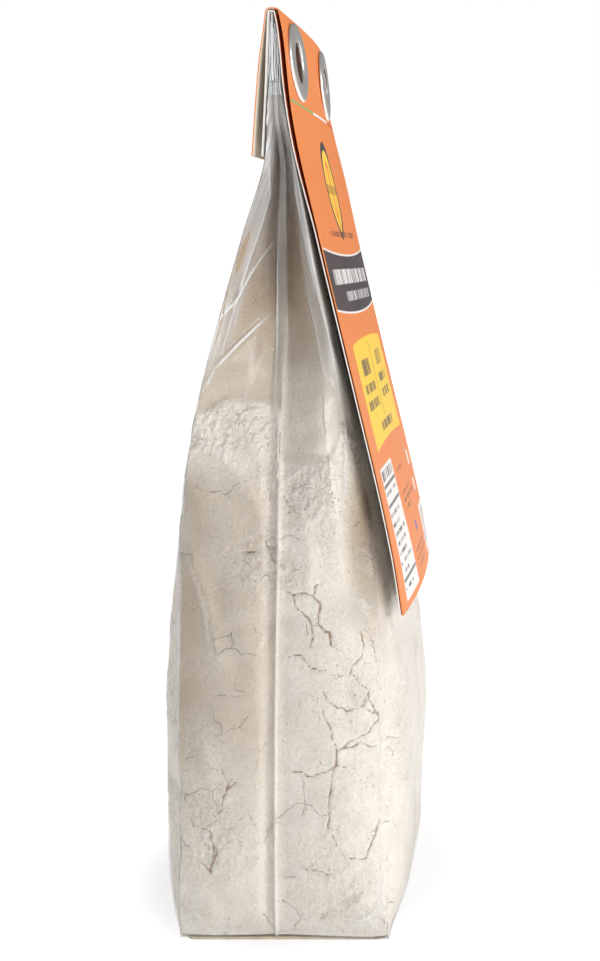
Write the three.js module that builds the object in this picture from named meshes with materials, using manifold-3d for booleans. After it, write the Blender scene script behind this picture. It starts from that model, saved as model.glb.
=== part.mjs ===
// A clear gusseted film bag full of flour, closed by a folded header card and two steel eyelets.
// Millimetres, +Z up, origin at the centre of the footprint, on the surface the bag stands on.
// The narrow gusset side faces -Y and the card's long front panel faces +X.

import * as THREE from 'three';
import { mergeVertices } from 'three/addons/utils/BufferGeometryUtils.js';
import Module from 'manifold-3d';

// Driving dimensions
const packHeight = 271.4;
const gussetDepth = 61;
const bagWidth = 88;
const cardWidth = 84;
const cardThickness = 0.35;
const cardFoot = 94;
const flapFoot = 228;
const eyeletDiameter = 24;
const eyeletBore = 12.4;
const eyeletSpacing = 50;
const eyeletHeight = 257.8;
const clearance = 0.3;
const sealThickness = 0.8;

// Values worked out from them
const halfGusset = gussetDepth / 2;
const halfBag = bagWidth / 2;
const halfCard = cardWidth / 2;
const neckHalf = halfCard - 0.8;
const bagFloor = sealThickness + clearance;
const barrelRadius = eyeletBore / 2 + 0.8;
const holeRadius = barrelRadius + clearance;
const neckTop = packHeight - 2 * cardThickness - 2 * clearance - 0.1;
const neckFoot = eyeletHeight - holeRadius - clearance;
const bagTop = neckFoot - clearance;
// The back bulges more than the front, so the whole is moved to stand centred on its widest belt
const beltCentre = 2.3;

// The film bag at a few heights. back and front are the corner creases in X, half is their Y.
// backBulge, frontBulge and sideBulge push the four faces out between the creases.
// tuck is how far the gusset folds inward, pleat is the X of its centre line,
// pleatWidth and ridge are the width and the height of the raised centre pleat.
const bagStations = [
  { z: bagFloor, back: -30.3, front: 30.3, half: 43.4, backBulge: 0.3, frontBulge: 0.3, sideBulge: 0.3,
    tuck: 0.6, pleat: -2.4, pleatWidth: 2, ridge: 0.4 },
  { z: 6, back: -30.8, front: 30.4, half: 44, backBulge: 6.4, frontBulge: 3.4, sideBulge: 1.4,
    tuck: 0.4, pleat: -2.4, pleatWidth: 1.8, ridge: 0.7 },
  { z: 25, back: -31, front: 29.6, half: 44, backBulge: 9.6, frontBulge: 5.3, sideBulge: 3,
    tuck: 0.2, pleat: -2.4, pleatWidth: 1.6, ridge: 0.9 },
  { z: 55, back: -31, front: 28.9, half: 44, backBulge: 10.3, frontBulge: 7, sideBulge: 4,
    tuck: 0, pleat: -2.2, pleatWidth: 1.6, ridge: 0.9 },
  { z: 90, back: -31, front: 28.8, half: 44, backBulge: 8.7, frontBulge: 2.9, sideBulge: 3.8,
    tuck: 0, pleat: -1.9, pleatWidth: 1.6, ridge: 0.9 },
  { z: 119, back: -30.8, front: 25.9, half: 43.8, backBulge: 5, frontBulge: 1.8, sideBulge: 2.6,
    tuck: 0.4, pleat: -1.6, pleatWidth: 2.2, ridge: 0.9 },
  { z: 142, back: -28.2, front: 19.6, half: 43.4, backBulge: 3.2, frontBulge: 1.8, sideBulge: 1.2,
    tuck: 2, pleat: -2, pleatWidth: 3.2, ridge: 0.8 },
  { z: 160, back: -25, front: 16.4, half: 42.6, backBulge: 1.2, frontBulge: 1.2, sideBulge: 0.4,
    tuck: 6.5, pleat: -2.6, pleatWidth: 3.4, ridge: 0.6 },
  { z: 178, back: -20.3, front: 12.4, half: 42, backBulge: 0.5, frontBulge: 0.8, sideBulge: 0,
    tuck: 12, pleat: -3.4, pleatWidth: 3.4, ridge: 0.4 },
  { z: 206, back: -12.4, front: 5.8, half: 41.8, backBulge: 0.2, frontBulge: 0.5, sideBulge: 0,
    tuck: 15, pleat: -4.4, pleatWidth: 2.8, ridge: 0.2 },
  { z: 226, back: -6.5, front: 1.2, half: 41.4, backBulge: 0, frontBulge: 0, sideBulge: 0,
    tuck: 9, pleat: -3.4, pleatWidth: 1.6, ridge: 0 },
  { z: 240, back: -5.8, front: -1.4, half: 41.2, backBulge: 0, frontBulge: 0, sideBulge: 0,
    tuck: 1.5, pleat: -3.8, pleatWidth: 1, ridge: 0.1 },
  { z: bagTop, back: -5.2, front: -3, half: 41.2, backBulge: 0, frontBulge: 0, sideBulge: 0.1,
    tuck: 0, pleat: -4.1, pleatWidth: 0.5, ridge: 0.1 },
];

// The flat top of the film, which the eyelets clamp between the cards
const neckLine = [
  { z: neckFoot, x: -4.1 },
  { z: 258, x: -4.25 },
  { z: neckTop, x: -4.4 },
];
const neckThickness = 0.5;
const neckSteps = 4;

// The card's outer faces in X at a few heights
const frontFace = [
  { z: cardFoot, x: 34.3 },
  { z: 112, x: 31.1 },
  { z: 158, x: 20 },
  { z: 205, x: 8.8 },
  { z: 240, x: 0.9 },
  { z: packHeight, x: -2.9 },
];
const frontGap = [
  { z: cardFoot, x: clearance },
  { z: 205, x: 0.35 },
  { z: 238, x: 0.9 },
  { z: 252, x: 0.8 },
  { z: packHeight, x: clearance },
];
const outerBackFace = [
  { z: flapFoot, x: -10.1 },
  { z: 243, x: -9.1 },
  { z: 256, x: -8 },
  { z: 265, x: -6.8 },
  { z: packHeight - 1, x: -6.1 },
];
const innerBackFace = [
  { z: flapFoot, x: -7.2 },
  { z: 247, x: -6.3 },
  { z: 262, x: -5.8 },
  { z: packHeight - 1, x: -5.45 },
];
// How far its middle bows toward +X, and how far its far edge curls back round the neck
const cardWarp = [
  { z: cardFoot, bow: 2.2, curl: 0 },
  { z: 120, bow: 1.2, curl: 0 },
  { z: 205, bow: 1.2, curl: 0 },
  { z: 226, bow: 1.3, curl: 0.2 },
  { z: 241, bow: 1.4, curl: 1.4 },
  { z: 256, bow: 1.4, curl: 2.6 },
  { z: packHeight, bow: 1.5, curl: 1.4 },
];
const curlStart = 6;

// Mesh density
const bagRows = 52;
const halfSideSteps = 7;
const broadSideSteps = 14;
const cardFrontSteps = 20;
const cardFlapSteps = 7;
const cardCrossSteps = 8;
const eyeletSegments = 28;

const filmMaterial = { color: 0xe6e0d5, roughness: 0.35, metalness: 0 };
const sealMaterial = { color: 0xcdb894, roughness: 0.4, metalness: 0 };
const cardMaterial = { color: 0xf0904f, roughness: 0.5, metalness: 0 };
const linerMaterial = { color: 0xd9682f, roughness: 0.5, metalness: 0 };
const steelMaterial = { color: 0x9c9a96, roughness: 0.28, metalness: 1 };

// Smooth value between stations
function valueAt(stations, z, key) {
  const last = stations.length - 1;
  if (z <= stations[0].z) return stations[0][key];
  if (z >= stations[last].z) return stations[last][key];
  let i = 0;
  while (stations[i + 1].z < z) i += 1;
  const a = stations[i];
  const b = stations[i + 1];
  const span = b.z - a.z;
  const slopeAt = (n) => {
    const low = stations[Math.max(n - 1, 0)];
    const high = stations[Math.min(n + 1, last)];
    return (high[key] - low[key]) / (high.z - low.z);
  };
  const t = (z - a.z) / span;
  const ease = t * t * (3 - 2 * t);
  const leave = t * (1 - t) * (1 - t) * span * slopeAt(i);
  const arrive = t * t * (t - 1) * span * slopeAt(i + 1);
  return a[key] + (b[key] - a[key]) * ease + leave + arrive;
}

function lerp(a, b, t) {
  return a + (b - a) * t;
}

function bowAt(z, y) {
  const across = Math.min(Math.abs(y) / halfCard, 1);
  const curled = Math.max(y - curlStart, 0) / (halfCard - curlStart);
  return valueAt(cardWarp, z, 'bow') * (1 - across * across) - valueAt(cardWarp, z, 'curl') * curled * curled;
}

// Above the shoulders the film follows the bow of the card that clamps it
function neckBow(z, y) {
  const clamped = THREE.MathUtils.smoothstep(z, 206, 240);
  return clamped * bowAt(z, y);
}

// One gusset side, from one corner crease to the other, with its pleat in the middle.
// facing is -1 for the near side and +1 for the far side.
function gussetSide(station, facing) {
  const points = [];
  const halfPleat = station.pleatWidth / 2;
  const depthAt = (a) => {
    const arch = 0.55 * (1 - Math.pow(1 - a, 2.5)) + 0.45 * Math.sin(Math.PI * a);
    return station.half + station.sideBulge * arch - station.tuck * a;
  };
  for (let i = 0; i <= halfSideSteps; i += 1) {
    const a = i / halfSideSteps;
    points.push([lerp(station.back, station.pleat - halfPleat, a), facing * depthAt(a)]);
  }
  points.push([station.pleat, facing * (depthAt(1) + station.ridge)]);
  for (let i = halfSideSteps; i >= 0; i -= 1) {
    const a = i / halfSideSteps;
    points.push([lerp(station.front, station.pleat + halfPleat, a), facing * depthAt(a)]);
  }
  return points;
}

// Points between the corner creases of a broad side
function broadSide(crease, bulge, half) {
  const points = [];
  for (let i = 1; i < broadSideSteps; i += 1) {
    const t = -Math.cos((Math.PI * i) / broadSideSteps);
    points.push([crease + bulge * (1 - Math.pow(t, 4)), half * t]);
  }
  return points;
}

function bagSection(z) {
  const station = { z };
  for (const key of Object.keys(bagStations[0])) {
    if (key !== 'z') station[key] = valueAt(bagStations, z, key);
  }
  const near = gussetSide(station, -1);
  const front = broadSide(station.front, station.frontBulge, station.half);
  const far = gussetSide(station, 1).reverse();
  const back = broadSide(station.back, -station.backBulge, station.half).reverse();
  return [...near, ...front, ...far, ...back].map(([x, y]) => [x + neckBow(z, y), y, z]);
}

// Heights of the rows, closer together at the foot and round the shoulders
function bagHeights() {
  const heights = [bagFloor, 2.2, 4];
  const steps = bagRows - heights.length;
  for (let i = 0; i <= steps; i += 1) heights.push(lerp(6.5, bagTop, i / steps));
  return heights;
}

function geometryFrom(positions, triangles) {
  const geometry = new THREE.BufferGeometry();
  geometry.setAttribute('position', new THREE.Float32BufferAttribute(positions.flat(), 3));
  geometry.setIndex(triangles.flat());
  return geometry;
}

function bagGeometry() {
  const rows = bagHeights().map(bagSection);
  const around = rows[0].length;
  const positions = rows.flat();
  const triangles = [];
  for (let r = 0; r < rows.length - 1; r += 1) {
    for (let c = 0; c < around; c += 1) {
      const a = r * around + c;
      const b = r * around + ((c + 1) % around);
      triangles.push([a, b, b + around], [a, b + around, a + around]);
    }
  }
  const addCap = (row, up) => {
    const first = row * around;
    const outline = rows[row].map(([x, y]) => new THREE.Vector2(x, y));
    for (const [a, b, c] of THREE.ShapeUtils.triangulateShape(outline, [])) {
      triangles.push(up ? [first + a, first + b, first + c] : [first + c, first + b, first + a]);
    }
  };
  addCap(0, false);
  addCap(rows.length - 1, true);
  return geometryFrom(positions, triangles);
}

// Side view of a folded card: its middle line up the front, over the fold and down the flap.
// Each point carries the direction that points out of the card.
function cardLine(frontOf, backOf, topOut) {
  const half = cardThickness / 2;
  const top = topOut - half;
  const frontRound = 0.6;
  const backRound = 0.9;
  const line = [];
  const frontTop = top - frontRound;
  const backTop = top - backRound;
  for (let i = 0; i <= cardFrontSteps; i += 1) {
    const z = lerp(cardFoot, frontTop, i / cardFrontSteps);
    line.push([frontOf(z) - half, z]);
  }
  const frontX = frontOf(frontTop) - half;
  const backX = backOf(backTop) + half;
  for (let i = 1; i <= 4; i += 1) {
    const angle = (Math.PI / 2) * (i / 4);
    line.push([frontX - frontRound * (1 - Math.cos(angle)), frontTop + frontRound * Math.sin(angle)]);
  }
  for (let i = 0; i <= 4; i += 1) {
    const angle = (Math.PI / 2) * (1 + i / 4);
    line.push([backX + backRound * (1 + Math.cos(angle)), backTop + backRound * Math.sin(angle)]);
  }
  for (let i = 1; i <= cardFlapSteps; i += 1) {
    const z = lerp(backTop, flapFoot, i / cardFlapSteps);
    line.push([backOf(z) + half, z]);
  }
  return line;
}

// A sheet as a closed solid: the line is given thickness, then bowed across its width
function bowedSheet(line, thickness, halfWidth) {
  const positions = [];
  const triangles = [];
  const half = thickness / 2;
  const across = cardCrossSteps + 1;
  const index = (row, column, side) => (row * across + column) * 2 + side;
  line.forEach(([x, z], row) => {
    const before = line[Math.max(row - 1, 0)];
    const after = line[Math.min(row + 1, line.length - 1)];
    const along = new THREE.Vector2(after[0] - before[0], after[1] - before[1]).normalize();
    const outX = along.y;
    const outZ = -along.x;
    for (let column = 0; column < across; column += 1) {
      const y = lerp(-halfWidth, halfWidth, column / cardCrossSteps);
      const bow = bowAt(z, y);
      positions.push([x + bow + outX * half, y, z + outZ * half]);
      positions.push([x + bow - outX * half, y, z - outZ * half]);
    }
  });
  const addQuad = (a, b, c, d) => triangles.push([a, b, c], [a, c, d]);
  for (let row = 0; row < line.length - 1; row += 1) {
    for (let column = 0; column < cardCrossSteps; column += 1) {
      const next = column + 1;
      addQuad(index(row, column, 0), index(row, next, 0), index(row + 1, next, 0), index(row + 1, column, 0));
      addQuad(index(row, column, 1), index(row + 1, column, 1), index(row + 1, next, 1), index(row, next, 1));
    }
    const last = cardCrossSteps;
    addQuad(index(row, 0, 0), index(row + 1, 0, 0), index(row + 1, 0, 1), index(row, 0, 1));
    addQuad(index(row, last, 0), index(row, last, 1), index(row + 1, last, 1), index(row + 1, last, 0));
  }
  const end = line.length - 1;
  for (let column = 0; column < cardCrossSteps; column += 1) {
    const next = column + 1;
    addQuad(index(0, column, 0), index(0, column, 1), index(0, next, 1), index(0, next, 0));
    addQuad(index(end, column, 0), index(end, next, 0), index(end, next, 1), index(end, column, 1));
  }
  return geometryFrom(positions, triangles);
}

// A ring turned about its own axis, laid with that axis along the given direction
function turnedRing(profile, direction, place) {
  const ring = new THREE.LatheGeometry(profile.map(([r, h]) => new THREE.Vector2(r, h)), eyeletSegments);
  const turn = new THREE.Quaternion().setFromUnitVectors(new THREE.Vector3(0, 1, 0), direction);
  ring.applyQuaternion(turn);
  ring.translate(place.x, place.y, place.z);
  return ring;
}

const wasm = await Module();
wasm.setup();

function solidOf(geometry) {
  const bare = geometry.clone();
  bare.deleteAttribute('normal');
  bare.deleteAttribute('uv');
  const merged = mergeVertices(bare, 1e-4);
  return new wasm.Manifold(new wasm.Mesh({
    numProp: 3,
    vertProperties: new Float32Array(merged.attributes.position.array),
    triVerts: new Uint32Array(merged.index.array),
  }));
}

function geometryOf(solid) {
  const mesh = solid.getMesh();
  const geometry = new THREE.BufferGeometry();
  geometry.setAttribute('position', new THREE.BufferAttribute(mesh.vertProperties, 3));
  geometry.setIndex(new THREE.BufferAttribute(mesh.triVerts, 1));
  geometry.computeVertexNormals();
  return geometry;
}

// A round hole along X through everything, at an eyelet's place
function holeAlongX(radius, y) {
  const hole = new THREE.CylinderGeometry(radius, radius, 60, eyeletSegments);
  hole.rotateZ(Math.PI / 2);
  hole.translate(0, y, eyeletHeight);
  return solidOf(hole);
}

function withEyeletHoles(geometry) {
  let solid = solidOf(geometry);
  for (const side of [-1, 1]) {
    solid = solid.subtract(holeAlongX(holeRadius, (side * eyeletSpacing) / 2));
  }
  return geometryOf(solid);
}

// An eyelet: a domed washer on the front panel, a barrel and a rolled washer on the back flap
function eyeletGeometry(y) {
  const bore = eyeletBore / 2;
  const rim = eyeletDiameter / 2;
  const step = 4;
  const faceX = (face, z, across) => valueAt(face, z, 'x') + bowAt(z, across);
  const facing = (face) => {
    const turn = (faceX(face, eyeletHeight, y + step) - faceX(face, eyeletHeight, y - step)) / (2 * step);
    const lean = (faceX(face, eyeletHeight + step, y) - faceX(face, eyeletHeight - step, y)) / (2 * step);
    return new THREE.Vector3(1, -turn, -lean).normalize();
  };
  const frontX = faceX(frontFace, eyeletHeight, y);
  const backX = faceX(outerBackFace, eyeletHeight, y);
  const frontDirection = facing(frontFace);
  const backDirection = facing(outerBackFace).negate();
  const dome = [
    [bore - 0.1, 0.5],
    [rim - 0.1, 0.5],
    [rim, 0.6],
    [rim - 0.7, 1],
    [rim - 2.2, 1.45],
    [rim - 3.8, 1.6],
    [bore + 0.9, 1.35],
    [bore + 0.25, 0.9],
    [bore - 0.1, 0.5],
  ];
  const rolled = [
    [bore - 0.1, 0.8],
    [bore + 3.2, 0.8],
    [bore + 3.4, 1.1],
    [bore + 2.2, 1.8],
    [bore + 0.7, 1.5],
    [bore - 0.1, 0.8],
  ];
  const front = turnedRing(dome, frontDirection, new THREE.Vector3(frontX, y, eyeletHeight));
  const back = turnedRing(rolled, backDirection, new THREE.Vector3(backX, y, eyeletHeight));
  const tube = new THREE.CylinderGeometry(barrelRadius, barrelRadius, frontX - backX + 2, eyeletSegments);
  tube.rotateZ(Math.PI / 2);
  tube.translate((frontX + backX) / 2, y, eyeletHeight);
  const solid = solidOf(front).add(solidOf(back)).add(solidOf(tube));
  return geometryOf(solid.subtract(holeAlongX(bore, y)));
}

// The bottom of the bag, folded flat and sealed under it
function baseSealGeometry() {
  const halfX = halfGusset - 1.2;
  const halfY = halfBag - 1.4;
  const round = 3;
  const outline = new THREE.Shape();
  outline.moveTo(-halfX + round, -halfY);
  outline.lineTo(halfX - round, -halfY);
  outline.absarc(halfX - round, -halfY + round, round, -Math.PI / 2, 0);
  outline.lineTo(halfX, halfY - round);
  outline.absarc(halfX - round, halfY - round, round, 0, Math.PI / 2);
  outline.lineTo(-halfX + round, halfY);
  outline.absarc(-halfX + round, halfY - round, round, Math.PI / 2, Math.PI);
  outline.lineTo(-halfX, -halfY + round);
  outline.absarc(-halfX + round, -halfY + round, round, Math.PI, 1.5 * Math.PI);
  return new THREE.ExtrudeGeometry(outline, { depth: sealThickness, bevelEnabled: false, curveSegments: 4 });
}

function addPiece(group, name, geometry, look) {
  const mesh = new THREE.Mesh(geometry, new THREE.MeshStandardMaterial(look));
  mesh.name = name;
  group.add(mesh);
}

const outerCard = cardLine(
  (z) => valueAt(frontFace, z, 'x'),
  (z) => valueAt(outerBackFace, z, 'x'),
  packHeight,
);
const innerCard = cardLine(
  (z) => valueAt(frontFace, z, 'x') - cardThickness - valueAt(frontGap, z, 'x'),
  (z) => valueAt(innerBackFace, z, 'x'),
  packHeight - cardThickness - clearance,
);

const neck = [];
for (let i = 0; i <= neckSteps; i += 1) {
  const z = lerp(neckFoot, neckTop, i / neckSteps);
  neck.push([valueAt(neckLine, z, 'x'), z]);
}

const pack = new THREE.Group();
pack.position.x = beltCentre;
addPiece(pack, 'bag', bagGeometry(), filmMaterial);
addPiece(pack, 'neck', withEyeletHoles(bowedSheet(neck, neckThickness, neckHalf)), filmMaterial);
addPiece(pack, 'base_seal', baseSealGeometry(), sealMaterial);
addPiece(pack, 'outer_card', withEyeletHoles(bowedSheet(outerCard, cardThickness, halfCard)), cardMaterial);
addPiece(pack, 'inner_card', withEyeletHoles(bowedSheet(innerCard, cardThickness, halfCard)), linerMaterial);
addPiece(pack, 'near_eyelet', eyeletGeometry(-eyeletSpacing / 2), steelMaterial);
addPiece(pack, 'far_eyelet', eyeletGeometry(eyeletSpacing / 2), steelMaterial);

export default pack;
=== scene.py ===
import json
import math

import bmesh
import bpy
import numpy as np
from mathutils import Matrix, Vector


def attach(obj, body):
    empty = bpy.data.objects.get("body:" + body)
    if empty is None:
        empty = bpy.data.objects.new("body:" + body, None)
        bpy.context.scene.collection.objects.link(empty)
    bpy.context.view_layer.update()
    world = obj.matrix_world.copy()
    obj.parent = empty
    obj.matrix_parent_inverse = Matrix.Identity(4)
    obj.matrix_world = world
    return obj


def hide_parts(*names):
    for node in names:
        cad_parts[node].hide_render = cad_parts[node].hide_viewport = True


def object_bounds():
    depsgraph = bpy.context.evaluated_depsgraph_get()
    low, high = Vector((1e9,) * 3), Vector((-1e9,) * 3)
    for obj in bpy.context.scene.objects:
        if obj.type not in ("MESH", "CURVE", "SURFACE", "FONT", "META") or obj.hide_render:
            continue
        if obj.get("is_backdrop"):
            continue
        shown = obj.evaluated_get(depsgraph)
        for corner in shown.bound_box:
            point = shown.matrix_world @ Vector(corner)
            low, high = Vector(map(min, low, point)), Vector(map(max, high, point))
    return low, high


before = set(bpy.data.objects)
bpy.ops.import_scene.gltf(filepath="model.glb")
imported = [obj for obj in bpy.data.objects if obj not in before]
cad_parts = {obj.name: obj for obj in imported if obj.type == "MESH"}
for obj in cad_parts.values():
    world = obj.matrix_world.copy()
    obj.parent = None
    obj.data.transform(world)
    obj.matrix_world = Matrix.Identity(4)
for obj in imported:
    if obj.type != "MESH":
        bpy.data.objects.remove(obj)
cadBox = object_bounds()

scene = bpy.context.scene
mm = 0.001
beltCentre = 2.3  # mm; sizes below are given from an axis this far behind the row's own

# number helpers


def smoothValue(heights, values, z):
    h = np.array(heights, float)
    v = np.array(values, float)
    z = np.clip(z, h[0], h[-1])
    i = np.clip(np.searchsorted(h, z, side="right") - 1, 0, len(h) - 2)
    low = np.maximum(np.arange(len(h)) - 1, 0)
    high = np.minimum(np.arange(len(h)) + 1, len(h) - 1)
    slope = (v[high] - v[low]) / (h[high] - h[low])
    span = h[i + 1] - h[i]
    t = (z - h[i]) / span
    ease = t * t * (3 - 2 * t)
    leave = t * (1 - t) ** 2 * span * slope[i]
    arrive = t * t * (t - 1) * span * slope[i + 1]
    return v[i] + (v[i + 1] - v[i]) * ease + leave + arrive


def smoothStep(z, low, high):
    t = np.clip((z - low) / (high - low), 0, 1)
    return t * t * (3 - 2 * t)


def bell(d, width):
    return np.exp(-((d / width) ** 2))


def latticeValue(i, j, k, seed):
    n = (i * 374761393 + j * 668265263 + k * 1440662683 + seed * 1274126177) & 0xFFFFFFFF
    n = ((n ^ (n >> 13)) * 1274126177) & 0xFFFFFFFF
    n = n ^ (n >> 16)
    return (n & 0xFFFF) / 32767.5 - 1


def softNoise(x, y, z, size, seed, octaves=1):
    total = np.zeros(np.broadcast(x, y, z).shape)
    weight, weights = 1.0, 0.0
    for octave in range(octaves):
        scaled = [np.asarray(p, float) / size + 100 for p in (x, y, z)]
        cell = [np.floor(p).astype(np.int64) for p in scaled]
        part = [(p - c) for p, c in zip(scaled, cell)]
        part = [p * p * (3 - 2 * p) for p in part]
        for di in (0, 1):
            for dj in (0, 1):
                for dk in (0, 1):
                    share = (part[0] if di else 1 - part[0]) * (part[1] if dj else 1 - part[1])
                    share = share * (part[2] if dk else 1 - part[2])
                    corner = latticeValue(cell[0] + di, cell[1] + dj, cell[2] + dk, seed + octave * 17)
                    total += weight * share * corner
        weights += weight
        size, weight = size * 0.5, weight * 0.5
    return total / weights


def routeDistance(px, pz, route):
    best = np.full(px.shape, 1e9)
    along = np.zeros(px.shape)
    last = len(route) - 1
    for n in range(last):
        (ax, az), (bx, bz) = route[n], route[n + 1]
        dx, dz = bx - ax, bz - az
        t = np.clip(((px - ax) * dx + (pz - az) * dz) / (dx * dx + dz * dz), 0, 1)
        d = np.hypot(px - ax - t * dx, pz - az - t * dz)
        nearer = d < best
        best = np.where(nearer, d, best)
        along = np.where(nearer, (n + t) / last, along)
    return best, along


def jaggedRoute(route, step, sway, seed):
    points = [route[0]]
    for n in range(len(route) - 1):
        (ax, az), (bx, bz) = route[n], route[n + 1]
        length = math.hypot(bx - ax, bz - az)
        pieces = max(1, round(length / step))
        for i in range(1, pieces + 1):
            t = i / pieces
            x, z = ax + (bx - ax) * t, az + (bz - az) * t
            if i < pieces:
                push = sway * float(softNoise(np.array(x * 7.0), np.array(z * 7.0), np.array(0.5), 3.1, seed))
                x, z = x - push * (bz - az) / length, z + push * (bx - ax) / length
            points.append((x, z))
    return points


# material helpers


class Board:
    def __init__(self, name, owner=None, output="OutputMaterial"):
        self.owner = owner or bpy.data.materials.new(name)
        self.owner.use_nodes = True
        self.tree = self.owner.node_tree
        self.tree.nodes.clear()
        self.output = self.node(output)

    def put(self, socket, value):
        if isinstance(value, bpy.types.NodeSocket):
            self.tree.links.new(value, socket)
        elif isinstance(value, (tuple, list)) and len(value) == 3 and len(socket.default_value) == 4:
            socket.default_value = (*value, 1)
        else:
            socket.default_value = value

    def node(self, kind, inputs=None, settings=None):
        made = self.tree.nodes.new("ShaderNode" + kind)
        for key, value in (settings or {}).items():
            setattr(made, key, value)
        for key, value in (inputs or {}).items():
            self.put(made.inputs[key], value)
        return made

    def maths(self, operation, a, b=0.0, clamp=False):
        return self.node("Math", {0: a, 1: b}, {"operation": operation, "use_clamp": clamp}).outputs[0]

    def times(self, a, b, clamp=False):
        return self.maths("MULTIPLY", a, b, clamp)

    def plus(self, a, b, clamp=False):
        return self.maths("ADD", a, b, clamp)

    def blend(self, share, a, b, way="MIX"):
        return self.node("Mix", {0: share, 6: a, 7: b}, {"data_type": "RGBA", "blend_type": way}).outputs[2]

    def span(self, value, low, high, start=0.0, end=1.0):
        return self.node("MapRange", {0: value, 1: low, 2: high, 3: start, 4: end}).outputs[0]

    def place(self, stretch=None):
        made = self.node("TexCoord").outputs["Object"]
        return made if stretch is None else self.node("Mapping", {"Vector": made, "Scale": stretch}).outputs[0]

    def noise(self, vector, scale, detail=3.0, rough=0.55, output="Fac"):
        inputs = {"Vector": vector, "Scale": scale, "Detail": detail, "Roughness": rough}
        return self.node("TexNoise", inputs).outputs[output]

    def cells(self, vector, scale, feature="F1"):
        made = self.node("TexVoronoi", {"Vector": vector, "Scale": scale}, {"feature": feature})
        return made.outputs["Distance"]

    def mark(self, name):
        return self.node("Attribute", None, {"attribute_name": name}).outputs["Fac"]

    def bump(self, height, strength, distance):
        return self.node("Bump", {"Height": height, "Strength": strength, "Distance": distance}).outputs[0]

    def coat(self, tone, rough, bump=None, specular=0.5, metal=0.0):
        shader = self.node("BsdfPrincipled", {"Base Color": tone, "Roughness": rough, "Metallic": metal,
                                              "Specular IOR Level": specular})
        if bump is not None:
            self.put(shader.inputs["Normal"], bump)
        return shader.outputs[0]

    def mix(self, share, first, second):
        return self.node("MixShader", {0: share, 1: first, 2: second}).outputs[0]

    def finish(self, shader):
        self.tree.links.new(shader, self.output.inputs["Surface"])
        return self.owner


def intoScene(name, data):
    made = bpy.data.objects.new(name, data)
    scene.collection.objects.link(made)
    return made


# bag form

bagForm = {  # mm, the film's creases and bulges at a few heights, as in the solid
    "heights": [1.1, 6, 25, 55, 90, 119, 142, 160, 178, 206, 226, 240, 249.9],
    "back": [-30.3, -30.8, -31, -31, -31, -30.8, -28.2, -25, -20.3, -12.4, -6.5, -5.8, -5.2],
    "front": [30.3, 30.4, 29.6, 28.9, 28.8, 25.9, 19.6, 16.4, 12.4, 6.0, 1.5, -1.2, -2.9],
    "half": [43.4, 44, 44, 44, 44, 43.8, 43.4, 42.6, 42, 41.8, 41.4, 41.2, 41.2],
    "backBulge": [0.3, 6.4, 9.6, 10.3, 8.7, 5, 3.2, 1.2, 0.5, 0.2, 0, 0, 0],
    "frontBulge": [0.3, 3.4, 5.3, 7, 2.9, 1.8, 1.8, 1.2, 0.8, 0.5, 0, 0, 0],
    "sideBulge": [0.3, 1.4, 3, 4, 3.8, 2.6, 1.2, 0.4, 0, 0, 0, 0, 0.1],
    "tuck": [0.6, 0.4, 0.2, 0, 0, 0.4, 2, 6.5, 12, 15, 9, 1.5, 0],
    "pleat": [-2.4, -2.4, -2.4, -2.2, -1.9, -1.6, -2, -2.6, -3.4, -4.4, -3.4, -3.8, -4.1],
    "pleatWidth": [2, 1.8, 1.6, 1.6, 1.6, 2.2, 3.2, 3.4, 3.4, 2.8, 1.6, 1, 0.5],
    "ridge": [0.4, 0.7, 0.9, 0.9, 0.9, 0.9, 0.8, 0.6, 0.4, 0.2, 0, 0.1, 0.1],
    "groove": 0.9,  # beside the pleat's lower ridge
    "footDrop": 0.9,  # the near right foot is turned under
}
# the near front corner is drawn in beside the card, and is a soft bend all the way up
drawnCorner = {"height": 128, "reach": 27, "depth": 9.0, "from": 0.6, "bend": 7.5}
cardShape = {
    "halfCard": 42,
    "thickness": 0.35,
    "foot": 94,
    "flapFoot": 228,
    "top": 271.4,
    "frontHeights": [94, 112, 158, 205, 240, 271.4],
    "front": [34.3, 31.1, 20, 8.8, 0.9, -2.9],
    "gapHeights": [94, 205, 216, 230, 243, 252, 262, 271.4],
    "gap": [0.3, 0.6, 0.9, 1.2, 1.2, 1.3, 1.2, 0.95],
    "outerBackHeights": [228, 243, 256, 265, 270.4],
    "outerBack": [-10.1, -9.1, -8, -6.8, -6.1],
    "innerBackHeights": [228, 247, 262, 270.4],
    "innerBack": [-7.2, -6.3, -5.8, -5.45],
    "warpHeights": [94, 120, 205, 226, 241, 256, 271.4],
    "bow": [2.2, 1.2, 1.2, 1.3, 1.4, 1.4, 1.5],
    "curl": [0, 0, 0, 0.2, 1.4, 2.6, 1.4],
    "curlStart": 6,
    "leadHeights": [94, 110, 130, 160, 205, 225, 240, 255, 264, 271.4],
    "nearLead": [0, 0.3, 0.8, 1.0, 1.0, 1.0, 1.2, 1.5, 1.4, 0.7],  # how far the front panels' edges stand out
    "farLead": [0, 0, 0, 0, 0, 0.6, 1.1, 1.2, 1.2, 0.7],
}


def bowAt(z, y):
    half = cardShape["halfCard"]
    across = np.clip(np.abs(y) / half, 0, 1)
    curled = np.maximum(y - cardShape["curlStart"], 0) / (half - cardShape["curlStart"])
    bow = smoothValue(cardShape["warpHeights"], cardShape["bow"], z)
    curl = smoothValue(cardShape["warpHeights"], cardShape["curl"], z)
    return bow * (1 - across**2) - curl * curled**2


def frontLead(z, y):
    across = np.clip(y / cardShape["halfCard"], -1, 1)
    near = smoothValue(cardShape["leadHeights"], cardShape["nearLead"], z)
    far = smoothValue(cardShape["leadHeights"], cardShape["farLead"], z)
    return near * np.maximum(-across, 0) ** 3 + far * np.maximum(across, 0) ** 3


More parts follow.
